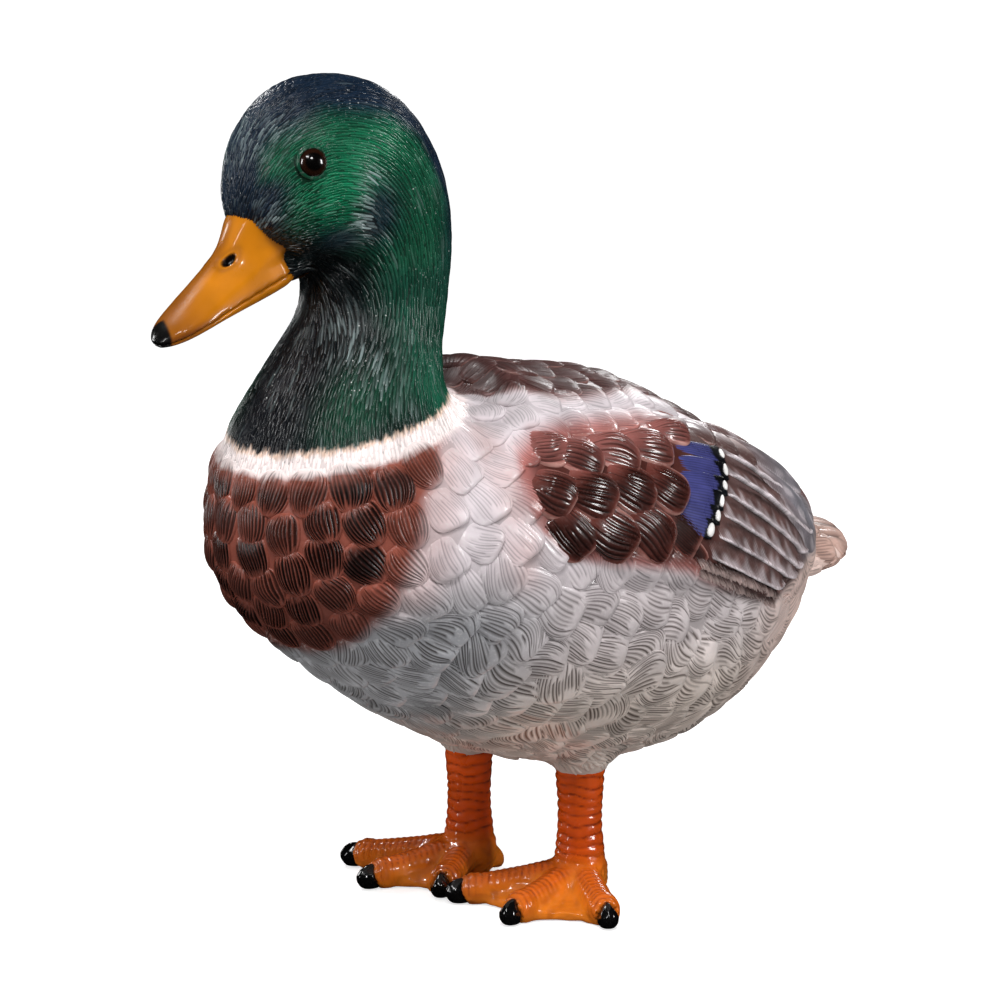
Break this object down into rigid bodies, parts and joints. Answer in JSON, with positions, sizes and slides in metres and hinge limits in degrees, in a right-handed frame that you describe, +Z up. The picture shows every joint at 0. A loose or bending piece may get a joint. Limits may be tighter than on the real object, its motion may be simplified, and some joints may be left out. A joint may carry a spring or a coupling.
{
  "type": "mallard drake garden statue",
  "caption": "Painted cast-resin statue of a standing mallard drake, head turned and bill lowered, with folded wings, carved feathers and webbed feet.",
  "frame": {"origin": "on the floor, under the middle of the figure's outline", "axes": "+Z up, -Y the way the bird's body faces, +X the bird's left side"},
  "size_m": [0.1576, 0.327, 0.3061],
  "materials": {
    "head_paint": "glossy dark green and navy paint over carved feathers",
    "body_paint": "satin pale grey paint with a brown breast and a dark wash in the carving",
    "wing_paint": "glossy dark brown paint with a blue patch barred black and white",
    "tail_paint": "satin pinkish brown paint",
    "bill": "glossy yellow-orange paint with darker edges and a black tip",
    "leg_paint": "glossy orange paint over ringed wrinkles",
    "claws": "glossy black paint",
    "eyes": "very glossy dark brown"
  },
  "bodies": {
    "root": {"bill_lower": "bill", "bill_upper": "bill", "claw_left_inner": "claws", "claw_left_middle": "claws", "claw_left_outer": "claws", "claw_right_inner": "claws", "claw_right_middle": "claws", "claw_right_outer": "claws", "eye_left": "eyes", "eye_right": "eyes", "foot_left": "leg_paint", "foot_right": "leg_paint", "head": "head_paint", "neck": "head_paint", "shank_left": "leg_paint", "shank_right": "leg_paint", "tail": "tail_paint", "thigh_left": "body_paint", "thigh_right": "body_paint", "trunk": "body_paint", "wing_left": "wing_paint", "wing_right": "wing_paint"}
  },
  "joints": []
}
